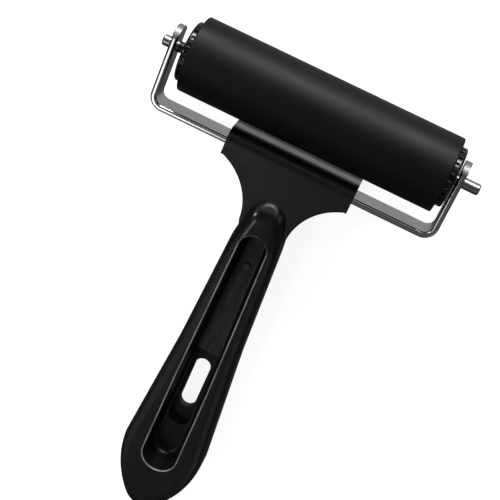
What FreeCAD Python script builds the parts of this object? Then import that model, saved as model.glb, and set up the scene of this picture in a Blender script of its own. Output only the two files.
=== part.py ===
import FreeCAD, Part
import math
import os

import Sketcher

# A hand brayer: a rubber-covered roller that turns on a steel rod, held by a U of
# steel strap, with a moulded plastic handle round the middle of the strap.
#
# Frame: the origin is the middle of the line through the two rod holes. X runs along
# the roller, +Y points from the handle to the roller, and +Z out of the handle's front,
# the side with the long pocket. Lengths are millimetres.

# Driving dimensions. Every one is a cell of the spreadsheet, under the same name.
DIMENSIONS = {
    # roller
    "roller_length": 100.0,
    "roller_diameter": 28.5,
    "rubber_wall": 3.0,
    "rubber_edge_round": 0.5,
    "tube_wall": 1.5,
    "side_shift": 1.5,            # how far the roller sits to the right in its play
    # end caps
    "cap_diameter": 22.6,
    "cap_proud": 2.6,             # how far a cap stands out of the tube
    "flange_thickness": 1.0,
    "flange_edge_round": 0.8,
    "notch_count": 24,
    "notch_width": 1.3,
    "notch_depth": 0.8,
    "spigot_length": 9.0,
    "spigot_wall": 1.6,
    "hub_diameter": 9.0,
    "dish_depth": 0.5,
    "dish_diameter": 17.0,
    "web_count": 6,
    "web_thickness": 1.4,
    "web_setback": 1.0,           # how far the webs stop short of the spigot's end
    "web_overlap": 0.2,           # how far the webs run into the walls they join
    # rod
    "rod_diameter": 4.2,
    "rod_length": 124.6,
    "rod_chamfer": 0.5,
    "rod_groove_depth": 0.35,
    "rod_groove_width": 1.6,
    "running_clearance": 0.05,
    "hole_clearance": 0.1,
    # strap
    "strap_width": 10.0,
    "strap_thickness": 2.4,
    "arm_gap": 110.0,             # between the arms' inner faces
    "bridge_distance": 21.75,     # from the rod line to the bridge's inner face
    "bend_radius": 3.1,           # inside the bend
    "tip_reach": 7.6,             # from the rod line to the arms' tips
    "tip_corner_radius": 4.0,
    "strap_edge_round": 0.9,
    # head of the handle
    "head_width": 50.6,
    "head_top": 18.0,             # from the rod line to the head's top
    "head_foot": 27.9,            # from the rod line to where the web narrows
    "head_back": 7.5,
    "head_crest_round": 4.7,
    "head_foot_run": 1.0,         # length of the slope from the head's back to the web
    # flat web that narrows from the head to the neck; its front is the head's front too
    "flare_front": 5.8,
    "flare_back": 6.5,
    "flare_radius": 23.1,
    "flare_edge_round": 0.9,
    "neck_width": 19.2,
    "neck_distance": 48.4,
    "web_run_in": 6.0,            # how far the web runs on inside the grip
    "web_inset": 2.0,             # how much narrower it gets there, on each side
    # grip
    "grip_front": 10.0,
    "grip_back": 9.0,
    "nose_distance": 36.4,
    "nose_radius": 7.3,
    "nose_low": 5.2,
    "nose_run": 5.6,
    "nose_crest_round": 9.0,
    "nose_spread": 12.0,          # degrees from the nose's widest point to its sides
    "shoulder_distance": 54.0,
    "waist_width": 24.6,
    "waist_distance": 104.0,
    "butt_width": 34.2,
    "butt_distance": 158.0,
    "butt_side_radius": 45.0,
    "butt_end": 189.5,
    "grip_front_round": 4.6,
    "grip_back_round": 6.5,
    "blend_radius": 36.0,
    # pocket in the grip
    "pocket_top_width": 10.8,
    "pocket_top_distance": 56.0,
    "pocket_wide_width": 14.0,
    "pocket_wide_distance": 122.0,
    "pocket_low_width": 14.6,
    "pocket_low_distance": 159.4,
    "pocket_floor": -2.0,
    "pocket_draft": 5.0,          # degrees
    "step_distance": 111.5,
    "step_end_distance": 150.0,
    "step_floor": -6.0,
    "step_width": 9.6,
    "pocket_floor_round": 1.8,
    "rim_round": 0.6,
    "boss_distance": 69.0,
    "boss_diameter": 2.8,
    "boss_height": 0.7,
    # hanging slot through the floor of the pocket
    "slot_width": 6.6,
    "slot_top_distance": 118.0,
    "slot_length": 25.0,
    # how far a cut runs past the surface it opens
    "cut_margin": 1.0,
}

# How far an edge may lie from where a fillet looks for it.
EDGE_SLACK = 0.1

doc = FreeCAD.newDocument("brayer")


class Size:
    """A length that carries both its value and the spreadsheet formula behind it."""

    def __init__(self, value, formula):
        self.value = float(value)
        self.formula = formula

    def __add__(self, other):
        other = as_size(other)
        return Size(self.value + other.value, f"({self.formula} + {other.formula})")

    def __sub__(self, other):
        other = as_size(other)
        return Size(self.value - other.value, f"({self.formula} - {other.formula})")

    def __mul__(self, other):
        other = as_size(other)
        return Size(self.value * other.value, f"({self.formula} * {other.formula})")

    def __truediv__(self, other):
        other = as_size(other)
        return Size(self.value / other.value, f"({self.formula} / {other.formula})")

    def __neg__(self):
        return Size(-self.value, f"(0 - {self.formula})")


def as_size(number):
    """Turn a plain number into a Size."""
    return number if isinstance(number, Size) else Size(number, repr(float(number)))


def make_sheet():
    """Write the driving dimensions into the spreadsheet and return them as sizes."""
    sheet = doc.addObject("Spreadsheet::Sheet", "Sizes")
    sizes = {}
    for row, (name, value) in enumerate(DIMENSIONS.items(), start=1):
        sheet.set(f"A{row}", name)
        sheet.set(f"B{row}", str(value))
        sheet.setAlias(f"B{row}", name)
        sizes[name] = Size(value, f"Sizes.{name}")
    doc.recompute()
    return sizes


D = make_sheet()


# ---- small PartDesign helpers -------------------------------------------------------

def make_body(label):
    """Start a sub-part; its label is its node name."""
    body = doc.addObject("PartDesign::Body", label)
    body.Label = label
    return body


def plane_of(body, role):
    """One of the body's own origin planes or axes."""
    return next(item for item in body.Origin.OriginFeatures if item.Role == role)


def make_sketch(body, name, role="XY_Plane", height=None):
    """A sketch on an origin plane, raised along the plane's normal by height."""
    sketch = body.newObject("Sketcher::SketchObject", f"{body.Name}_{name}")
    sketch.AttachmentSupport = [(plane_of(body, role), "")]
    sketch.MapMode = "FlatFace"
    if height is not None:
        sketch.setExpression("AttachmentOffset.Base.z", height.formula)
    return sketch


def drive(sketch, constraint, size):
    """Add a dimensional constraint and bind it to its formula."""
    index = sketch.addConstraint(constraint)
    sketch.setExpression(f"Constraints[{index}]", size.formula)


def pin_point(sketch, edge, end, x, y):
    """Fix one end of an edge at (x, y)."""
    if isinstance(x, Size):
        drive(sketch, Sketcher.Constraint("DistanceX", edge, end, x.value), x)
    else:
        sketch.addConstraint(Sketcher.Constraint("PointOnObject", edge, end, -2))
    if isinstance(y, Size):
        drive(sketch, Sketcher.Constraint("DistanceY", edge, end, y.value), y)
    else:
        sketch.addConstraint(Sketcher.Constraint("PointOnObject", edge, end, -1))


def arc_between(start, end, radius):
    """The shorter arc from start to end. A positive radius bends to the left."""
    chord = end - start
    middle = (start + end) * 0.5
    across = FreeCAD.Vector(-chord.y, chord.x, 0).normalize()
    reach = math.sqrt(max(radius ** 2 - (chord.Length / 2) ** 2, 0.0))
    centre = middle + across * (reach if radius > 0 else -reach)
    first, last = (start, end) if radius > 0 else (end, start)
    angles = [math.atan2(p.y - centre.y, p.x - centre.x) for p in (first, last)]
    circle = Part.Circle(centre, FreeCAD.Vector(0, 0, 1), abs(radius))
    return Part.ArcOfCircle(circle, angles[0], angles[1])


def add_outline(sketch, corners):
    """Draw a closed outline. A corner is (x, y), or (x, y, radius) where the edge that
    leads to it is an arc: a plain 0 for x or y keeps the point on that axis."""
    spots = [FreeCAD.Vector(as_size(c[0]).value, as_size(c[1]).value, 0) for c in corners]
    ends = []
    for i, corner in enumerate(corners):
        start, end = spots[i - 1], spots[i]
        if len(corner) == 3:
            edge = sketch.addGeometry(arc_between(start, end, corner[2].value))
            radius = corner[2] if corner[2].value > 0 else -corner[2]
            drive(sketch, Sketcher.Constraint("Radius", edge, radius.value), radius)
            ends.append((edge, 1, 2) if corner[2].value > 0 else (edge, 2, 1))
        else:
            edge = sketch.addGeometry(Part.LineSegment(start, end))
            ends.append((edge, 1, 2))
    for i, corner in enumerate(corners):
        edge, _, finish = ends[i]
        following, begin, _ = ends[(i + 1) % len(ends)]
        sketch.addConstraint(Sketcher.Constraint("Coincident", edge, finish, following, begin))
        pin_point(sketch, edge, finish, corner[0], corner[1])


def add_circle(sketch, x, y, radius):
    """Draw a circle whose centre is at (x, y)."""
    centre = FreeCAD.Vector(as_size(x).value, as_size(y).value, 0)
    circle = Part.Circle(centre, FreeCAD.Vector(0, 0, 1), radius.value)
    edge = sketch.addGeometry(circle)
    pin_point(sketch, edge, 3, x, y)
    drive(sketch, Sketcher.Constraint("Radius", edge, radius.value), radius)


def pad(body, name, sketch, length, symmetric=False):
    """Extrude a sketch along its normal, or half each way."""
    feature = body.newObject("PartDesign::Pad", f"{body.Name}_{name}")
    feature.Profile = sketch
    if symmetric:
        feature.SideType = "Symmetric"
    feature.setExpression("Length", length.formula)
    return finish_feature(body, feature)


def pocket(body, name, sketch, length=None, draft=None, reversed_way=False):
    """Cut a sketch down from its plane, or right through both ways without a length."""
    before = body.Tip.Shape.Volume
    feature = body.newObject("PartDesign::Pocket", f"{body.Name}_{name}")
    feature.Profile = sketch
    feature.Reversed = reversed_way
    if length is None:
        feature.Type = "ThroughAll"
        feature.SideType = "Symmetric"
    else:
        feature.setExpression("Length", length.formula)
    if draft is not None:
        feature.setExpression("TaperAngle", f"0 - {draft.formula}")
    finish_feature(body, feature)
    if feature.Shape.Volume >= before:
        raise RuntimeError(f"{feature.Name} cuts nothing")
    return feature


def revolve(body, name, sketch):
    """Turn a sketch on the XY plane about the X axis."""
    feature = body.newObject("PartDesign::Revolution", f"{body.Name}_{name}")
    feature.Profile = sketch
    feature.ReferenceAxis = (sketch, ["H_Axis"])
    feature.Angle = 360
    return finish_feature(body, feature)


def fillet(body, name, radius, wanted):
    """Round the tip's edges for which wanted(edge) holds."""
    base = body.Tip
    names = [f"Edge{i}" for i, edge in enumerate(base.Shape.Edges, start=1) if wanted(edge)]
    if not names:
        raise RuntimeError(f"{body.Name}_{name} found no edges")
    feature = body.newObject("PartDesign::Fillet", f"{body.Name}_{name}")
    feature.Base = (base, names)
    feature.setExpression("Radius", radius.formula)
    return finish_feature(body, feature)


def around_x(body, name, originals, count):
    """Repeat features evenly about the X axis."""
    feature = body.newObject("PartDesign::PolarPattern", f"{body.Name}_{name}")
    feature.Originals = originals
    feature.Axis = (plane_of(body, "X_Axis"), [""])
    feature.Angle = 360
    feature.setExpression("Occurrences", count.formula)
    return finish_feature(body, feature)


def finish_feature(body, feature):
    """Recompute, check the new feature and make it the body's tip."""
    body.Tip = feature
    doc.recompute()
    failed = "Invalid" in feature.State or "Error" in feature.State
    if failed or feature.Shape.isNull() or not feature.Shape.isValid():
        raise RuntimeError(f"{feature.Name} failed: {feature.State}")
    return feature


def samples(edge):
    """A few points along an edge."""
    return edge.discretize(5)


def edge_in(edge, test):
    """True when every sampled point of the edge passes the test."""
    return all(test(point) for point in samples(edge))


def near(value, target, slack=0.02):
    return abs(value - target) < slack


# ---- roller -------------------------------------------------------------------------

def ring(label, length, outer, inner, centre):
    """A plain tube about X. All four sizes are lengths along or across X."""
    body = make_body(label)
    sketch = make_sketch(body, "section")
    left, right = centre - length / 2, centre + length / 2
    add_outline(sketch, [(left, inner), (right, inner), (right, outer), (left, outer)])
    revolve(body, "turned", sketch)
    return body


def make_rubber_sleeve():
    outer = D["roller_diameter"] / 2
    body = ring("rubber_sleeve", D["roller_length"], outer, outer - D["rubber_wall"], D["side_shift"])
    fillet(body, "edges", D["rubber_edge_round"], lambda edge: edge_in(
        edge, lambda p: near(math.hypot(p.y, p.z), outer.value)) and edge.Length > 2 * outer.value
        and near(edge.BoundBox.XLength, 0))
    return body


def make_core_tube():
    outer = D["roller_diameter"] / 2 - D["rubber_wall"]
    return ring("core_tube", D["roller_length"], outer, outer - D["tube_wall"], D["side_shift"])


def make_end_cap(label, side):
    """A moulded cap. side is +1 at the right end of the roller and -1 at the left."""
    body = make_body(label)

    def along(distance):
        """Distance from the middle of the roller, outwards, as an X coordinate."""
        return D["side_shift"] + distance * side

    tube_end = D["roller_length"] / 2
    face = tube_end + D["cap_proud"]
    flange_back = face - D["flange_thickness"]
    spigot_end = tube_end - D["spigot_length"]
    rim = D["cap_diameter"] / 2
    spigot = D["roller_diameter"] / 2 - D["rubber_wall"] - D["tube_wall"]
    hub = D["hub_diameter"] / 2
    dish = D["dish_diameter"] / 2
    bore = D["rod_diameter"] / 2 + D["running_clearance"]
    lip = bore - D["rod_groove_depth"]
    lip_start, lip_end = groove_span()

    sketch = make_sketch(body, "section")
    corners = [
        (face, rim), (face, dish), (face - D["dish_depth"], dish - D["dish_depth"]),
        (face - D["dish_depth"], bore), (lip_end - D["running_clearance"], bore),
        (lip_end - D["running_clearance"], lip), (lip_start + D["running_clearance"], lip),
        (lip_start + D["running_clearance"], bore), (spigot_end, bore), (spigot_end, hub),
        (tube_end, hub), (tube_end, spigot - D["spigot_wall"]),
        (spigot_end, spigot - D["spigot_wall"]), (spigot_end, spigot),
        (tube_end, spigot), (tube_end, rim),
    ]
    add_outline(sketch, [(along(x), y) for x, y in corners])
    revolve(body, "turned", sketch)

    fillet(body, "rim", D["flange_edge_round"], lambda edge: edge_in(
        edge, lambda p: near(math.hypot(p.y, p.z), rim.value) and near(p.x, along(face).value)))

    # Notches round the band between the flange and the rubber.
    middle = along((tube_end + flange_back) / 2)
    half_band = (flange_back - tube_end) / 2
    notch = make_sketch(body, "notch", "XY_Plane", rim - D["notch_depth"])
    half_notch = D["notch_width"] / 2
    add_outline(notch, [(middle - half_band, -half_notch), (middle + half_band, -half_notch),
                        (middle + half_band, half_notch), (middle - half_band, half_notch)])
    notch_height = D["notch_depth"] + D["cut_margin"]
    notch_cut = pocket(body, "notch_cut", notch, notch_height, reversed_way=True)
    around_x(body, "notches", [notch_cut], D["notch_count"])

    # Radial webs that tie the hub to the spigot.
    web = make_sketch(body, "web", "XY_Plane")
    web_start = spigot_end + D["web_setback"]
    web_end = tube_end + D["web_overlap"]
    web_low = hub - D["web_overlap"]
    web_high = spigot - D["spigot_wall"] + D["web_overlap"]
    add_outline(web, [(along(web_start), web_low), (along(web_start), web_high),
                      (along(web_end), web_high), (along(web_end), web_low)])
    web_pad = pad(body, "web_pad", web, D["web_thickness"], symmetric=True)
    around_x(body, "webs", [web_pad], D["web_count"])
    return body


def groove_span():
    """Where the rod's retaining grooves start and end, measured from the roller's middle."""
    start = D["roller_length"] / 2 - D["spigot_length"] / 2
    return start, start + D["rod_groove_width"]


def make_axle_rod():
    """The rod, with a shallow groove inside each hub that keeps it in the roller."""
    body = make_body("axle_rod")
    radius = D["rod_diameter"] / 2
    half = D["rod_length"] / 2
    chamfer = D["rod_chamfer"]
    start, end = groove_span()
    floor = radius - D["rod_groove_depth"]
    right_half = [(start, radius), (start, floor), (end, floor), (end, radius),
                  (half - chamfer, radius), (half, radius - chamfer), (half, 0)]
    left_half = [(-x, y) for x, y in reversed(right_half)]
    shift = D["side_shift"]
    sketch = make_sketch(body, "section")
    add_outline(sketch, [(shift + x, y) for x, y in left_half + right_half])
    revolve(body, "turned", sketch)
    return body


# ---- strap --------------------------------------------------------------------------

def make_frame_strap():
    """A U of flat steel strap with a rod hole in each arm."""
    body = make_body("frame_strap")
    inner = D["arm_gap"] / 2
    outer = inner + D["strap_thickness"]
    tip = D["tip_reach"]
    near_side = -D["bridge_distance"]
    far_side = near_side - D["strap_thickness"]
    bend = D["bend_radius"]
    outer_bend = bend + D["strap_thickness"]

    sketch = make_sketch(body, "bend_line")
    add_outline(sketch, [
        (-outer, tip), (-outer, near_side + bend), (-(inner - bend), far_side, outer_bend),
        (inner - bend, far_side), (outer, near_side + bend, outer_bend), (outer, tip),
        (inner, tip), (inner, near_side + bend), (inner - bend, near_side, -bend),
        (-(inner - bend), near_side), (-inner, near_side + bend, -bend), (-inner, tip),
    ])
    pad(body, "bent", sketch, D["strap_width"], symmetric=True)

    holes = make_sketch(body, "rod_hole", "YZ_Plane")
    add_circle(holes, 0, 0, D["rod_diameter"] / 2 + D["hole_clearance"])
    pocket(body, "rod_holes", holes)

    half_width = D["strap_width"] / 2
    shortest = D["strap_thickness"].value + EDGE_SLACK
    fillet(body, "edges", D["strap_edge_round"], lambda edge: edge_in(
        edge, lambda p: near(abs(p.z), half_width.value)) and edge.Length > shortest)

    # The tips are cropped round across the rolled edges, so their faces keep sharp borders.
    crop = make_sketch(body, "tip_crop", "YZ_Plane")
    radius = D["tip_corner_radius"]
    beyond_tip = tip + D["cut_margin"]
    for side in (1, -1):
        edge_z = half_width * side
        beyond_z = (half_width + D["cut_margin"]) * side
        arc_end_z = (half_width - radius) * side
        add_outline(crop, [(tip - radius, edge_z), (tip, arc_end_z, radius * -side),
                           (beyond_tip, arc_end_z), (beyond_tip, beyond_z),
                           (tip - radius, beyond_z)])
    pocket(body, "tips", crop)
    return body


# ---- handle -------------------------------------------------------------------------

def butt_arcs():
    """Tangency of the butt's side arcs and its end arc: the tangent point and end radius."""
    side = D["butt_side_radius"]
    half = D["butt_width"] / 2
    depth = D["butt_end"] - D["butt_distance"]
    end = (side * side - (side - half) * (side - half) - depth * depth) / ((side - depth) * 2)
    reach = side / (side - end)
    x = half - side + (side - half) * reach
    y = -D["butt_distance"] - (depth - end) * reach
    return x, y, end


def grip_corners():
    """The grip's outline seen from the front, from the nose round to the nose."""
    radius = D["nose_radius"]
    centre_y = -D["nose_distance"] - radius
    spread = math.radians(D["nose_spread"].value)
    nose_x = radius * math.cos(spread)
    nose_y = centre_y + radius * math.sin(spread)
    tangent_x, tangent_y, end_radius = butt_arcs()
    right = [
        (D["neck_width"] / 2, -D["shoulder_distance"]),
        (D["waist_width"] / 2, -D["waist_distance"]),
        (D["butt_width"] / 2, -D["butt_distance"]),
        (tangent_x, tangent_y, -D["butt_side_radius"]),
    ]
    left = [
        (-tangent_x, tangent_y, -end_radius),
        (-D["butt_width"] / 2, -D["butt_distance"], -D["butt_side_radius"]),
        (-D["waist_width"] / 2, -D["waist_distance"]),
        (-D["neck_width"] / 2, -D["shoulder_distance"]),
    ]
    return [(nose_x, nose_y, -radius)] + right + left + [(-nose_x, nose_y)]


def make_grip(body):
    """The long rounded bar, with a nose that rises out of the flat web."""
    outline = make_sketch(body, "grip_outline", "XY_Plane", -D["grip_back"])
    add_outline(outline, grip_corners())
    pad(body, "grip", outline, D["grip_front"] + D["grip_back"])

    fillet(body, "sides", D["blend_radius"], lambda edge: edge_in(
        edge, lambda p: near(abs(p.x), D["neck_width"].value / 2)
        and near(p.y, -D["shoulder_distance"].value)))

    ramp = make_sketch(body, "nose_ramp", "YZ_Plane")
    before_nose = D["cut_margin"] - D["nose_distance"]
    above_grip = D["grip_front"] + D["cut_margin"]
    crest = -(D["nose_distance"] + D["nose_run"])
    add_outline(ramp, [(before_nose, D["nose_low"]), (before_nose, above_grip),
                       (crest, above_grip), (crest, D["grip_front"])])
    pocket(body, "nose_cut", ramp)
    fillet(body, "nose_crest", D["nose_crest_round"], lambda edge: edge_in(
        edge, lambda p: near(p.y, crest.value) and near(p.z, D["grip_front"].value)))
    fillet(body, "grip_front_edges", D["grip_front_round"], lambda edge: edge_in(
        edge, lambda p: p.z > D["nose_low"].value - EDGE_SLACK) and edge.BoundBox.YLength > EDGE_SLACK)
    fillet(body, "grip_back_edges", D["grip_back_round"], lambda edge: edge_in(
        edge, lambda p: near(p.z, -D["grip_back"].value)))


def make_flare(body):
    """The flat web that runs from the head down to the neck."""
    half_head = D["head_width"] / 2
    half_neck = D["neck_width"] / 2
    foot = -D["head_foot"]
    neck = -D["neck_distance"]
    inside = neck - D["web_run_in"]
    half_inside = half_neck - D["web_inset"]
    inside_head = -D["bridge_distance"]
    outline = make_sketch(body, "flare_outline", "XY_Plane", -D["flare_back"])
    add_outline(outline, [
        (half_head, inside_head), (half_head, foot),
        (half_neck, neck, D["flare_radius"]), (half_inside, inside), (-half_inside, inside),
        (-half_neck, neck), (-half_head, foot, D["flare_radius"]), (-half_head, inside_head),
    ])
    pad(body, "flare", outline, D["flare_front"] + D["flare_back"])
    radius = D["flare_radius"].value
    fillet(body, "flare_edges", D["flare_edge_round"], lambda edge:
           hasattr(edge.Curve, "Radius") and near(edge.Curve.Radius, radius)
           and (near(edge.BoundBox.ZMin, D["flare_front"].value)
                or near(edge.BoundBox.ZMax, -D["flare_back"].value)))


def make_head(body):
    """The bar that is moulded round the strap."""
    top = -D["head_top"]
    foot = -D["head_foot"]
    section = make_sketch(body, "head_section", "YZ_Plane")
    add_outline(section, [
        (top, -D["head_back"]), (top, D["flare_front"]), (foot, D["flare_front"]),
        (foot, -D["flare_back"]),
        (foot + D["head_foot_run"], -D["head_back"]),
    ])
    pad(body, "head", section, D["head_width"], symmetric=True)
    fillet(body, "crest", D["head_crest_round"], lambda edge: edge_in(
        edge, lambda p: near(p.y, top.value) and near(p.z, D["flare_front"].value)))


def cut_pocket(body):
    """The long front pocket, its deeper lower part and the hanging slot."""
    front = D["grip_front"]
    top_half, top_y = D["pocket_top_width"] / 2, -D["pocket_top_distance"]
    wide_half, wide_y = D["pocket_wide_width"] / 2, -D["pocket_wide_distance"]
    low_half, low_y = D["pocket_low_width"] / 2, -D["pocket_low_distance"]
    outline = make_sketch(body, "pocket_outline", "XY_Plane", front)
    add_outline(outline, [
        (wide_half, wide_y), (low_half, low_y), (0, low_y - low_half, -low_half),
        (-low_half, low_y, -low_half), (-wide_half, wide_y), (-top_half, top_y),
        (0, top_y + top_half, -top_half), (top_half, top_y, -top_half),
    ])
    pocket(body, "pocket", outline, front - D["pocket_floor"], draft=D["pocket_draft"])
    # The rim dips a little where the pocket comes near the grip's rounded sides.
    rim_low = (front - D["grip_front_round"] / 4).value
    rim_start = (top_y + top_half).value
    rim_end = (low_y - low_half).value
    fillet(body, "rim", D["rim_round"], lambda edge: edge_in(
        edge, lambda p: p.z > rim_low and abs(p.x) < wide_half.value + EDGE_SLACK
        and rim_end - EDGE_SLACK < p.y < rim_start + EDGE_SLACK))

    fillet(body, "floor_round", D["pocket_floor_round"], lambda edge: edge_in(
        edge, lambda p: near(p.z, D["pocket_floor"].value) and abs(p.x) < wide_half.value))

    half = D["step_width"] / 2
    step_low = half - D["step_end_distance"]
    above_floor = D["pocket_floor"] + D["pocket_floor_round"]
    step = make_sketch(body, "step_outline", "XY_Plane", above_floor)
    add_outline(step, [
        (half, -D["step_distance"]), (half, step_low), (0, step_low - half, -half),
        (-half, step_low, -half), (-half, -D["step_distance"]),
    ])
    pocket(body, "step", step, above_floor - D["step_floor"])

    half = D["slot_width"] / 2
    upper = -D["slot_top_distance"] - half
    lower = -D["slot_top_distance"] - D["slot_length"] + half
    slot = make_sketch(body, "slot_outline", "XY_Plane")
    add_outline(slot, [
        (half, lower), (0, lower - half, -half), (-half, lower, -half),
        (-half, upper), (0, upper + half, -half), (half, upper, -half),
    ])
    pocket(body, "slot", slot)


def make_handle():
    body = make_body("handle")
    make_grip(body)
    make_flare(body)
    make_head(body)
    cut_pocket(body)

    half = D["strap_width"] / 2
    near_side = -D["bridge_distance"]
    tunnel = make_sketch(body, "strap_tunnel", "YZ_Plane")
    add_outline(tunnel, [(near_side, -half), (near_side, half),
                         (near_side - D["strap_thickness"], half),
                         (near_side - D["strap_thickness"], -half)])
    pocket(body, "tunnel", tunnel)

    boss = make_sketch(body, "gate_boss", "XY_Plane", D["pocket_floor"])
    add_circle(boss, 0, -D["boss_distance"], D["boss_diameter"] / 2)
    pad(body, "gate", boss, D["boss_height"])
    return body


# ---- build, check, write ------------------------------------------------------------

def check_and_write(bodies):
    """Stop on any failed object, then write one STEP file for each sub-part."""
    doc.recompute()
    for item in doc.Objects:
        if "Invalid" in item.State or "Error" in item.State:
            raise RuntimeError(f"{item.Name} is {item.State}")
    for body in bodies:
        shape = body.Shape
        if shape.isNull() or not shape.isValid() or len(shape.Solids) != 1:
            raise RuntimeError(f"{body.Label}: {len(shape.Solids)} solids, valid {shape.isValid()}")
    os.makedirs("parts", exist_ok=True)
    for body in bodies:
        body.Shape.exportStep(f"parts/{body.Label}.step")
        print(f"{body.Label}: {body.Shape.Volume / 1000:.2f} cm3")


check_and_write([
    make_handle(),
    make_frame_strap(),
    make_axle_rod(),
    make_core_tube(),
    make_rubber_sleeve(),
    make_end_cap("end_cap_left", -1),
    make_end_cap("end_cap_right", 1),
])
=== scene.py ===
import math

import bmesh
import bpy
from mathutils import Matrix, Vector
from mathutils.bvhtree import BVHTree


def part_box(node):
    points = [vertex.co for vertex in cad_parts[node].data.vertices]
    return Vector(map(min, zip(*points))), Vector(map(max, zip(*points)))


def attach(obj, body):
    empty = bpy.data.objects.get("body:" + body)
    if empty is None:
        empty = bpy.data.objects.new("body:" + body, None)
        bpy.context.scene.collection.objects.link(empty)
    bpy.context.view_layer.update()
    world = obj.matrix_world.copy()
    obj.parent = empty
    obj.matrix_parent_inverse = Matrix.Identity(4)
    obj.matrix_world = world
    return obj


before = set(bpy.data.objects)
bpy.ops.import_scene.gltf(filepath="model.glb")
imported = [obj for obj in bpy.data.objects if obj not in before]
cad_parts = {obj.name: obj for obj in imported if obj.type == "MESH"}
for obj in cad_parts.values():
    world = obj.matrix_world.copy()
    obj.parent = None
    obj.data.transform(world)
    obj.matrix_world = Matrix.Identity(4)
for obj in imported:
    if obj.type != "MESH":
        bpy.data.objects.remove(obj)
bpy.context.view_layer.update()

MM = 0.001


# ---- camera, floor and light -----------------------------------------------------------

CAMERA_AT = Vector((0.02733, 0.14823, 0.40280))
CAMERA_FORWARD = Vector((-0.0631, -0.4604, -0.8855))
CAMERA_UP = Vector((-0.4395, 0.8094, -0.3896))
CAMERA_LENS = 86.5

# The roller lies on the floor, a square that reaches this far each way, in metres.
FLOOR_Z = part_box("rubber_sleeve")[0].z
FLOOR_HALF = 3.0

# Every light faces this point on the tool. A light has its place, then its width and
# height, in metres, then its power in watts.
SUBJECT = Vector((0, -0.06, 0))
LIGHTS = {
    "key": ((-0.12, 1.00, 0.20), (0.60, 0.36), 11),
    "fill": ((-0.10, 0.85, 0.70), (0.9, 0.5), 0.7),
    "left": ((-0.30, -0.40, 0.90), (0.24, 0.24), 0.50),
    "nose": ((-0.70, 0.10, 0.70), (0.16, 0.16), 1.8),
    "front_west": ((-0.85, 0.60, 0.45), (0.5, 0.7), 0.6),
    "rear_west": ((-0.75, -0.75, 0.55), (0.6, 0.6), 0.5),
    "front_east": ((0.85, 0.60, 0.45), (0.5, 0.7), 0.6),
    "rear_east": ((0.75, -0.75, 0.55), (0.6, 0.6), 0.5),
}

# How bright the surroundings are. Each pair is a direction, from straight against
# STUDIO_UP at 0 to straight along it at 1, and its level of grey.
STUDIO_UP = (0, -0.46, 0.885)
STUDIO_LEVELS = [(0.0, 0.42), (0.06, 0.40), (0.20, 0.06), (0.86, 0.035), (0.94, 0.115), (1.0, 0.115)]
BACKDROP_LEVEL = 0.93


def make_camera():
    """The main view: above the roller, looking down the handle."""
    data = bpy.data.cameras.new("camera")
    data.sensor_width = 36.0
    data.lens = CAMERA_LENS
    data.clip_start = 0.01
    camera = bpy.data.objects.new("camera", data)
    back = -CAMERA_FORWARD.normalized()
    right = CAMERA_UP.cross(back).normalized()
    up = back.cross(right)
    rotation = Matrix((right, up, back)).transposed()
    camera.matrix_world = Matrix.Translation(CAMERA_AT) @ rotation.to_4x4()
    bpy.context.scene.collection.objects.link(camera)
    bpy.context.scene.camera = camera


def area_light(name, at, size, power):
    """A soft rectangular light that faces the tool."""
    data = bpy.data.lights.new(name, "AREA")
    data.shape = "RECTANGLE"
    data.size, data.size_y = size
    data.energy = power
    light = bpy.data.objects.new(name, data)
    light.location = at
    light.rotation_mode = "QUATERNION"
    light.rotation_quaternion = (SUBJECT - Vector(at)).to_track_quat("-Z", "Y")
    bpy.context.scene.collection.objects.link(light)


def make_lights():
    """Every light of the studio."""
    for name, (at, size, power) in LIGHTS.items():
        area_light(name, at, size, power)


def studio_ramp(tree):
    """A level of grey for each direction, from STUDIO_LEVELS."""
    direction = tree.nodes.new("ShaderNodeTexCoord")
    tilted = tree.nodes.new("ShaderNodeVectorMath")
    tilted.operation = "DOT_PRODUCT"
    tilted.inputs[1].default_value = STUDIO_UP
    tree.links.new(direction.outputs["Generated"], tilted.inputs[0])
    ramp = tree.nodes.new("ShaderNodeValToRGB")
    ramp.color_ramp.interpolation = "EASE"
    while len(ramp.color_ramp.elements) < len(STUDIO_LEVELS):
        ramp.color_ramp.elements.new(0.5)
    for element, (position, level) in zip(ramp.color_ramp.elements, STUDIO_LEVELS):
        element.position = position
        element.color = (level, level, level, 1)
    height = tree.nodes.new("ShaderNodeMapRange")
    height.inputs["From Min"].default_value = -1.0
    tree.links.new(tilted.outputs["Value"], height.inputs["Value"])
    tree.links.new(height.outputs["Result"], ramp.inputs["Fac"])
    return ramp.outputs["Color"]


def make_world():
    """Surroundings that light the tool and show in its surfaces: bright below, dim round
    the sides and a little brighter above. The camera itself sees a plain pale backdrop."""
    world = bpy.data.worlds.new("studio")
    world.use_nodes = True
    tree = world.node_tree
    background = tree.nodes["Background"]
    tree.links.new(studio_ramp(tree), background.inputs["Color"])
    backdrop = tree.nodes.new("ShaderNodeBackground")
    backdrop.inputs["Color"].default_value = (BACKDROP_LEVEL, BACKDROP_LEVEL, BACKDROP_LEVEL, 1)
    path = tree.nodes.new("ShaderNodeLightPath")
    either = tree.nodes.new("ShaderNodeMixShader")
    tree.links.new(path.outputs["Is Camera Ray"], either.inputs["Fac"])
    tree.links.new(background.outputs[0], either.inputs[1])
    tree.links.new(backdrop.outputs[0], either.inputs[2])
    tree.links.new(either.outputs[0], tree.nodes["World Output"].inputs["Surface"])
    bpy.context.scene.world = world
    bpy.context.scene.view_settings.view_transform = "Standard"


# ---- tools for materials ---------------------------------------------------------------

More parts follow.
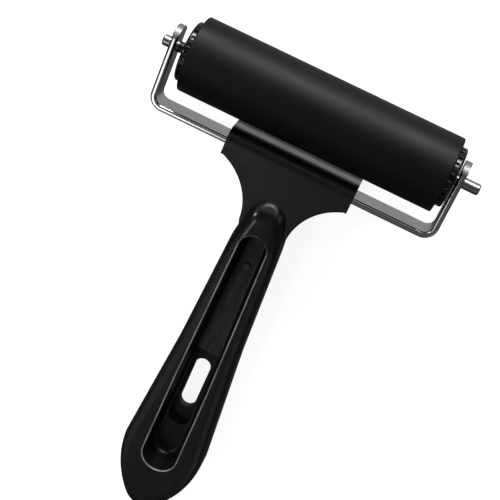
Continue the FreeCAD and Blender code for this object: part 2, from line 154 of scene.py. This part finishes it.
class Finish:
    """A material and short ways to add its nodes. Sizes of grain are in millimetres."""

    def __init__(self, name):
        self.material = bpy.data.materials.new(name)
        self.material.use_nodes = True
        self.tree = self.material.node_tree
        self.shader = self.tree.nodes["Principled BSDF"]
        place = self.tree.nodes.new("ShaderNodeTexCoord")
        self.place = place.outputs["Object"]

    def set(self, **values):
        """Constants on the shader's own sockets."""
        for name, value in values.items():
            self.shader.inputs[name.replace("_", " ")].default_value = value

    def link(self, value, socket):
        """Feed a value to a socket."""
        self.tree.links.new(value, socket)

    def noise(self, grain, detail=3.0, rough=0.5, distort=0.0):
        """Noise from 0 to 1. grain is the size of a spot, or of its x, y and z extents."""
        extents = grain if isinstance(grain, tuple) else (grain, grain, grain)
        stretch = self.tree.nodes.new("ShaderNodeMapping")
        stretch.inputs["Scale"].default_value = [1 / (extent * MM) for extent in extents]
        self.link(self.place, stretch.inputs["Vector"])
        texture = self.tree.nodes.new("ShaderNodeTexNoise")
        texture.inputs["Scale"].default_value = 1.0
        texture.inputs["Detail"].default_value = detail
        texture.inputs["Roughness"].default_value = rough
        texture.inputs["Distortion"].default_value = distort
        self.link(stretch.outputs["Vector"], texture.inputs["Vector"])
        return texture.outputs["Fac"]

    def span(self, value, low, high, to_low=0.0, to_high=1.0):
        """A smooth change from to_low where a value is low to to_high where it is high."""
        node = self.tree.nodes.new("ShaderNodeMapRange")
        node.interpolation_type = "SMOOTHSTEP"
        for name, number in (("From Min", low), ("From Max", high),
                             ("To Min", to_low), ("To Max", to_high)):
            node.inputs[name].default_value = number
        self.link(value, node.inputs["Value"])
        return node.outputs["Result"]

    def math(self, operation, first, second):
        """One step of arithmetic on values or plain numbers."""
        node = self.tree.nodes.new("ShaderNodeMath")
        node.operation = operation
        for socket, value in zip(node.inputs, (first, second)):
            if isinstance(value, (int, float)):
                socket.default_value = value
            else:
                self.link(value, socket)
        return node.outputs["Value"]

    def add(self, *values):
        """The sum of some values."""
        total = values[0]
        for value in values[1:]:
            total = self.math("ADD", total, value)
        return total

    def times(self, *values):
        """The product of some values."""
        product = values[0]
        for value in values[1:]:
            product = self.math("MULTIPLY", product, value)
        return product

    def tint(self, amount, dark, light):
        """A colour between dark and light."""
        node = self.tree.nodes.new("ShaderNodeMix")
        node.data_type = "RGBA"
        node.inputs["A"].default_value = (*dark, 1)
        node.inputs["B"].default_value = (*light, 1)
        self.link(amount, node.inputs["Factor"])
        return node.outputs["Result"]

    def cover(self, amount, under, over):
        """A colour laid over another by the given amount."""
        node = self.tree.nodes.new("ShaderNodeMix")
        node.data_type = "RGBA"
        node.inputs["B"].default_value = (*over, 1)
        self.link(amount, node.inputs["Factor"])
        self.link(under, node.inputs["A"])
        return node.outputs["Result"]

    def choose(self, amount, first, second):
        """A value between first and second."""
        node = self.tree.nodes.new("ShaderNodeMix")
        node.data_type = "FLOAT"
        self.link(amount, node.inputs["Factor"])
        self.link(first, node.inputs["A"])
        self.link(second, node.inputs["B"])
        return node.outputs["Result"]

    def facing(self, name, low, high):
        """1 where the surface faces along an axis, 0 where it is turned away."""
        side = self.tree.nodes.new("ShaderNodeTexCoord")
        split = self.tree.nodes.new("ShaderNodeSeparateXYZ")
        self.link(side.outputs["Normal"], split.inputs[0])
        return self.span(split.outputs[name], low, high)

    def axis(self, name):
        """The place along an axis, in metres."""
        node = self.tree.nodes.new("ShaderNodeSeparateXYZ")
        self.link(self.place, node.inputs[0])
        return node.outputs[name]

    def between(self, name, start, full_from, full_to, end):
        """1 along an axis from full_from to full_to, fading to 0 at start and end."""
        place = self.axis(name)
        return self.times(self.span(place, start, full_from), self.span(place, end, full_to))

    def away(self, name, middle=0.0):
        """The distance along an axis from a middle, in metres."""
        return self.math("ABSOLUTE", self.add(self.axis(name), -middle), 0.0)

    def edges(self, radius):
        """1 along sharp edges, 0 on smooth faces: where a normal that is averaged over the
        radius, in millimetres, differs from the face's own."""
        soft = self.tree.nodes.new("ShaderNodeBevel")
        soft.samples = 4
        soft.inputs["Radius"].default_value = radius * MM
        true = self.tree.nodes.new("ShaderNodeNewGeometry")
        product = self.tree.nodes.new("ShaderNodeVectorMath")
        product.operation = "DOT_PRODUCT"
        self.link(soft.outputs["Normal"], product.inputs[0])
        self.link(true.outputs["Normal"], product.inputs[1])
        return self.span(product.outputs["Value"], 0.995, 0.90)

    def color(self, value):
        """The material's colour."""
        self.link(value, self.shader.inputs["Base Color"])

    def roughness(self, value):
        """The material's roughness."""
        self.link(value, self.shader.inputs["Roughness"])

    def bump(self, height, depth, edge_round=None):
        """Relief of the given depth where height goes from 0 to 1, over slightly rounded
        edges if edge_round is given. Both are in millimetres."""
        node = self.tree.nodes.new("ShaderNodeBump")
        node.inputs["Distance"].default_value = depth * MM
        self.link(height, node.inputs["Height"])
        if edge_round is not None:
            soft = self.tree.nodes.new("ShaderNodeBevel")
            soft.samples = 8
            soft.inputs["Radius"].default_value = edge_round * MM
            self.link(soft.outputs["Normal"], node.inputs["Normal"])
        self.link(node.outputs["Normal"], self.shader.inputs["Normal"])


def grey(level):
    """A neutral colour."""
    return (level, level, level)


# ---- materials -------------------------------------------------------------------------

# Places are in metres from the middle of the rod. X runs along the rod, Y falls towards
# the end of the handle, and Z rises towards the tool's front. A pair is a fade, from
# nothing at its first place to the full effect at its second.

# The raised gate mark on the pocket's floor, with a painted highlight on top, and the step in that
# floor.
GATE_Y = -0.0690
GATE_ACROSS = (0.0014, 0.0010)
GATE_ALONG = (0.0014, 0.0006)
GATE_RISE = (-0.0016, -0.0014)
STEP_Y = -0.1115
STEP_ACROSS = (0.0050, 0.0046)
STEP_ALONG = (0.00065, 0.00035)
STEP_FALL = (-0.0012, -0.0016)

# The face of the handle's head next to the roller, which carries a painted reflection.
HEAD_FACE = (-0.0215, -0.0195)

# The strap's arms start this far from the middle, and their tips this far past the rod.
ARM_START = (0.0535, 0.0550)
TIP_START = (0.0032, 0.0038)

# The rod is darker in patches out to here, just inside the arms.
DARK_PATCH_END = (0.0550, 0.0542)


def gate_painted_highlight(finish):
    """1 on the top of the gate mark, where a painted highlight makes it paler than the pocket's
    floor.
    """
    across = finish.span(finish.away("X"), *GATE_ACROSS)
    along = finish.span(finish.away("Y", GATE_Y), *GATE_ALONG)
    return finish.times(across, along, finish.span(finish.axis("Z"), *GATE_RISE))


def floor_dust_and_painted_shade(finish):
    """Up to 1 in dust streaks along the pocket's upper floor, thinner towards its top as painted
    shade.
    """
    streaks = finish.span(finish.noise((1.6, 12, 4), detail=4, rough=0.6, distort=0.4),
                          0.35, 0.68, to_low=0.15)
    along = finish.between("Y", -0.0640, -0.0740, -0.1112, -0.1120)
    inside = finish.span(finish.axis("Z"), -0.0008, -0.0014)
    return finish.times(streaks, along, finish.facing("Z", 0.90, 0.99), inside)


def step_edge_rub_and_highlight(finish):
    """1 along the edge of the step in the pocket's floor: rubbed wear and a painted highlight."""
    along = finish.span(finish.away("Y", STEP_Y), *STEP_ALONG)
    across = finish.span(finish.away("X"), *STEP_ACROSS)
    low = finish.span(finish.axis("Z"), *STEP_FALL)
    patchy = finish.span(finish.noise(1.2), 0.3, 0.6, to_low=0.4)
    return finish.times(along, across, low, patchy)


def head_painted_reflection(finish):
    """Near 1 along the head's face next to the roller, in a patchy band: a painted reflection."""
    face = finish.times(finish.facing("Y", 0.90, 0.999), finish.span(finish.axis("Y"), *HEAD_FACE))
    band = finish.between("Z", -0.0050, -0.0030, -0.0006, 0.0008)
    patchy = finish.span(finish.noise((9, 2, 2), detail=4), 0.2, 0.6, to_low=0.7)
    return finish.times(face, band, patchy)


def thumb_rest(finish):
    """1 on the front of the nose at the top of the grip, polished by the thumb."""
    nose = finish.between("Y", -0.034, -0.041, -0.053, -0.076)
    return finish.times(nose, finish.span(finish.axis("Z"), 0.0045, 0.0085))


def handle_plastic():
    """Black satin plastic with a fine moulded grain, rubbed paler along its edges."""
    finish = Finish("handle_plastic")
    flow = finish.noise((9, 22, 9), detail=4, rough=0.6, distort=0.4)
    smudge = finish.noise(4.5, detail=5, rough=0.62, distort=0.6)
    grain = finish.noise(0.32, detail=2)
    scratch = finish.span(finish.noise((0.25, 7, 0.6), detail=2, distort=0.3), 0.66, 0.74)
    wear = finish.times(finish.edges(0.5), finish.span(finish.noise(1.8, detail=4), 0.35, 0.65))
    polish = thumb_rest(finish)

    marks = finish.add(finish.times(flow, 0.25), finish.times(scratch, 0.12), finish.times(wear, 0.5))
    color = finish.tint(marks, dark=(0.0022, 0.0022, 0.0024), light=(0.013, 0.013, 0.0135))
    # A painted highlight on the top of the gate mark.
    color = finish.cover(finish.times(gate_painted_highlight(finish), 0.8), color, grey(0.10))
    # Pale dust streaks on the pocket's floor, thinning towards its top as painted shade.
    color = finish.cover(floor_dust_and_painted_shade(finish), color, grey(0.070))
    # A pale line on the step's edge: partly rubbed wear, partly a painted highlight.
    color = finish.cover(step_edge_rub_and_highlight(finish), color, grey(0.10))
    # A pale band on the head's face next to the roller: a painted reflection.
    finish.color(finish.cover(head_painted_reflection(finish), color, grey(0.75)))

    satin = finish.span(smudge, 0.3, 0.72, to_low=0.30, to_high=0.44)
    finish.roughness(finish.add(satin, finish.times(flow, 0.07), finish.times(wear, 0.12),
                                finish.times(polish, -0.14)))
    relief = finish.add(grain, finish.times(scratch, -0.5))
    finish.bump(finish.times(relief, finish.span(polish, 0.0, 1.0, to_low=1.0, to_high=0.25)), 0.012)
    return finish.material


def rim_plastic():
    """The same black plastic, pale most of all along the sides of the pocket: rubbed wear and a
    painted highlight.
    """
    finish = Finish("rim_plastic")
    rub_and_highlight = finish.span(finish.noise((1.5, 10, 1.5), detail=4, rough=0.6), 0.25, 0.65, to_low=0.35)
    below_top = finish.span(finish.axis("Y"), -0.0505, -0.0600)
    fine = finish.noise(0.4)
    amount = finish.times(rub_and_highlight, below_top, finish.span(fine, 0.2, 0.5, to_low=0.7))
    # Pale along the rim: partly rubbed wear, partly a painted highlight.
    finish.color(finish.tint(amount, dark=grey(0.006), light=(0.42, 0.42, 0.415)))
    finish.roughness(finish.span(fine, 0.3, 0.7, to_low=0.32, to_high=0.46))
    finish.bump(fine, 0.02)
    return finish.material


def roller_rubber():
    """Ground black rubber: fine rings round the roller, a dull bloom and a little dust."""
    finish = Finish("roller_rubber")
    rings = finish.noise((0.18, 30, 30), rough=0.6)
    grain = finish.noise(0.22, detail=2)
    bloom = finish.noise((26, 9, 9), detail=4, rough=0.6, distort=0.3)
    dust = finish.span(finish.noise(0.7, detail=2, rough=0.4), 0.74, 0.80)
    marks = finish.add(finish.times(bloom, 0.45), finish.times(rings, 0.35), finish.times(dust, 0.5))
    finish.color(finish.tint(marks, dark=(0.0014, 0.0014, 0.0015), light=(0.0046, 0.0046, 0.0048)))
    dull = finish.span(bloom, 0.3, 0.7, to_low=0.44, to_high=0.52)
    finish.roughness(finish.add(dull, finish.times(rings, 0.06)))
    finish.set(Specular_IOR_Level=0.23)
    finish.bump(finish.add(finish.times(rings, 0.7), grain), 0.010)
    return finish.material


def strap_steel():
    """Bright rolled strap, ground duller on its tips, with fine lines along arms and bridge."""
    finish = Finish("strap_steel")
    finish.set(Metallic=1.0)
    on_arm = finish.span(finish.away("X"), *ARM_START)
    along_arm = finish.noise((0.10, 16, 0.10), rough=0.6)
    along_bridge = finish.noise((16, 0.10, 0.10), rough=0.6)
    lines = finish.choose(on_arm, along_bridge, along_arm)
    cloud = finish.noise(5, detail=4, rough=0.6, distort=0.5)
    nick = finish.span(finish.noise((0.5, 0.9, 2.4), rough=0.6, distort=1.5), 0.70, 0.78)
    tip = finish.times(finish.facing("Y", 0.10, 0.30), finish.span(finish.axis("Y"), *TIP_START))

    shade = finish.add(finish.times(lines, 0.7), finish.times(cloud, 0.5), finish.times(nick, -0.4))
    rolled = finish.tint(shade, dark=(0.30, 0.30, 0.296), light=(0.66, 0.66, 0.65))
    finish.color(finish.cover(finish.times(tip, 0.8), rolled, (0.30, 0.30, 0.298)))
    bright = finish.span(lines, 0.3, 0.7, to_low=0.10, to_high=0.19)
    finish.roughness(finish.add(bright, finish.times(cloud, 0.06), finish.times(tip, 0.36)))
    finish.bump(finish.add(lines, finish.times(nick, -0.8)), 0.003)
    return finish.material


def rod_steel():
    """Drawn steel rod: lines along it, and darker patches just inside the arms."""
    finish = Finish("rod_steel")
    finish.set(Metallic=1.0)
    lines = finish.noise((12, 0.16, 0.16), rough=0.6)
    blotches = finish.noise(2.2, detail=4, rough=0.6, distort=0.5)
    # Darker in patches just inside the arms.
    dark_patches = finish.times(finish.span(finish.away("X"), *DARK_PATCH_END), finish.span(blotches, 0.72, 0.56))
    shade = finish.add(finish.times(lines, 0.6), finish.times(blotches, 0.45))
    steel = finish.tint(shade, dark=(0.20, 0.195, 0.19), light=(0.62, 0.61, 0.59))
    finish.color(finish.cover(dark_patches, steel, grey(0.03)))
    drawn = finish.span(lines, 0.3, 0.7, to_low=0.16, to_high=0.28)
    finish.roughness(finish.add(drawn, finish.times(blotches, 0.08), finish.times(dark_patches, 0.12)))
    finish.bump(lines, 0.006)
    return finish.material


def cap_plastic():
    """Glossier black plastic, as it left the mould."""
    finish = Finish("cap_plastic")
    flow = finish.noise(3.0, detail=5, rough=0.6, distort=0.8)
    grain = finish.noise(0.25, detail=2)
    wear = finish.edges(0.3)
    marks = finish.add(finish.times(flow, 0.6), finish.times(wear, 0.3))
    finish.color(finish.tint(marks, dark=(0.0015, 0.0015, 0.0016), light=(0.010, 0.010, 0.0105)))
    glossy = finish.span(flow, 0.3, 0.7, to_low=0.14, to_high=0.22)
    finish.roughness(finish.add(glossy, finish.times(wear, 0.06)))
    finish.bump(grain, 0.006, edge_round=0.35)
    return finish.material


def core_plastic():
    """Grey extruded tube, seen only between the webs of the caps."""
    finish = Finish("core_plastic")
    lines = finish.noise((14, 0.4, 0.4), rough=0.6)
    cloud = finish.noise(6, detail=4, rough=0.6)
    shade = finish.add(finish.times(lines, 0.5), finish.times(cloud, 0.5))
    finish.color(finish.tint(shade, dark=grey(0.030), light=(0.075, 0.075, 0.074)))
    finish.roughness(finish.span(lines, 0.3, 0.7, to_low=0.42, to_high=0.56))
    finish.bump(lines, 0.02)
    return finish.material


def floor_paper():
    """Pale matte paper. It shines a little by itself, as a lit studio background does."""
    finish = Finish("floor_paper")
    fibre = finish.noise((1.4, 0.5, 1.0), detail=4, rough=0.6, distort=0.5)
    cloud = finish.noise(60)
    finish.color(finish.tint(cloud, dark=grey(0.84), light=grey(0.88)))
    finish.roughness(finish.span(fibre, 0.3, 0.7, to_low=0.86, to_high=0.95))
    finish.set(Emission_Color=(1, 1, 1, 1), Emission_Strength=0.86, Specular_IOR_Level=0.2)
    finish.bump(fibre, 0.02)
    return finish.material


# ---- the floor and the carried-over nodes ----------------------------------------------

FINISHES = {
    "handle": handle_plastic(),
    "frame_strap": strap_steel(),
    "axle_rod": rod_steel(),
    "core_tube": core_plastic(),
    "rubber_sleeve": roller_rubber(),
    "end_cap_left": cap_plastic(),
}
FINISHES["end_cap_right"] = FINISHES["end_cap_left"]


def make_floor():
    """A large square of paper that the roller lies on, kept out of glossy reflections."""
    mesh = bpy.data.meshes.new("floor")
    corners = [(-FLOOR_HALF, -FLOOR_HALF, FLOOR_Z), (FLOOR_HALF, -FLOOR_HALF, FLOOR_Z),
               (FLOOR_HALF, FLOOR_HALF, FLOOR_Z), (-FLOOR_HALF, FLOOR_HALF, FLOOR_Z)]
    mesh.from_pydata(corners, [], [(0, 1, 2, 3)])
    mesh.materials.append(floor_paper())
    floor = bpy.data.objects.new("floor", mesh)
    floor.visible_glossy = False
    bpy.context.scene.collection.objects.link(floor)


def dress(node):
    """Give a carried-over node its finish."""
    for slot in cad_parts[node].material_slots:
        slot.material = FINISHES[node]


# ---- the lip round the pocket ----------------------------------------------------------

# The lip is a bead. Its radius, how far outside the pocket's wall its middle lies and how
# far above the grip's front are in millimetres.
RIM_RADIUS = 0.30
RIM_OUTWARD = 0.35
RIM_RISE = -0.10
RIM_SIDES = 10

# Its half widths and where they are along Y, from the pocket's outline in the part.
POCKET_TOP = (5.4 + RIM_OUTWARD, -56.0)
POCKET_WIDE = (7.0 + RIM_OUTWARD, -122.0)
POCKET_LOW = (7.3 + RIM_OUTWARD, -159.4)

# The number of points along each stretch of the outline.
UPPER_STEPS = 40
LOWER_STEPS = 24
TOP_ARC_STEPS = 32
LOW_ARC_STEPS = 40

# A height above the whole handle, in metres, from which its surface is looked for.
ABOVE_HANDLE = 0.05


def side_points(start, end, sign, steps):
    """Points along a straight stretch of the right side (sign 1) or the left (sign -1)."""
    points = []
    for step in range(steps):
        t = step / steps
        points.append((sign * (start[0] + (end[0] - start[0]) * t),
                       start[1] + (end[1] - start[1]) * t))
    return points


def arc_points(side_end, first_angle, last_angle, steps):
    """Points round one end of the pocket, between two angles in degrees."""
    radius, centre_y = side_end
    points = []
    for step in range(steps):
        angle = math.radians(first_angle + (last_angle - first_angle) * step / steps)
        points.append((radius * math.cos(angle), centre_y + radius * math.sin(angle)))
    return points


def pocket_rim_outline():
    """Points round the pocket's mouth, in millimetres, clockwise from its top right."""
    return (side_points(POCKET_TOP, POCKET_WIDE, 1, UPPER_STEPS)
            + side_points(POCKET_WIDE, POCKET_LOW, 1, LOWER_STEPS)
            + arc_points(POCKET_LOW, 0, -180, LOW_ARC_STEPS)
            + side_points(POCKET_LOW, POCKET_WIDE, -1, LOWER_STEPS)
            + side_points(POCKET_WIDE, POCKET_TOP, -1, UPPER_STEPS)
            + arc_points(POCKET_TOP, 180, 0, TOP_ARC_STEPS))


def bead(name, path, radius, material, sides):
    """A closed bead along a loop of points, with smooth faces."""
    mesh = bmesh.new()
    rings = []
    count = len(path)
    for i, point in enumerate(path):
        along = (path[(i + 1) % count] - path[i - 1]).normalized()
        across = along.cross(Vector((0, 0, 1))).normalized()
        up = across.cross(along)
        ring = []
        for k in range(sides):
            angle = 2 * math.pi * k / sides
            outward = across * math.cos(angle) + up * math.sin(angle)
            ring.append(mesh.verts.new(point + outward * radius))
        rings.append(ring)
    for i in range(count):
        first, second = rings[i], rings[(i + 1) % count]
        for k in range(sides):
            after = (k + 1) % sides
            face = mesh.faces.new((first[k], first[after], second[after], second[k]))
            face.smooth = True
    bmesh.ops.recalc_face_normals(mesh, faces=mesh.faces)
    data = bpy.data.meshes.new(name)
    mesh.to_mesh(data)
    mesh.free()
    data.materials.append(material)
    piece = bpy.data.objects.new(name, data)
    bpy.context.scene.collection.objects.link(piece)
    return piece


def front_height(surface, x, y):
    """The height of the handle's front at a place, in metres."""
    start = Vector((x, y, ABOVE_HANDLE))
    down = Vector((0, 0, -1))
    place, _normal, _face, _distance = surface.ray_cast(start, down)
    return place.z


def make_pocket_rim():
    """The thin raised lip round the mouth of the pocket, pale with rubbed wear and a painted
    highlight.
    """
    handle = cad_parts["handle"]
    surface = BVHTree.FromPolygons([v.co for v in handle.data.vertices],
                                   [p.vertices for p in handle.data.polygons])
    path = []
    for x_mm, y_mm in pocket_rim_outline():
        x, y = x_mm * MM, y_mm * MM
        path.append(Vector((x, y, front_height(surface, x, y) + RIM_RISE * MM)))
    rim = bead("pocket_rim", path, RIM_RADIUS * MM, rim_plastic(), RIM_SIDES)
    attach(rim, "frame")


make_camera()
make_world()
make_lights()
make_floor()
for node in FINISHES:
    dress(node)
make_pocket_rim()
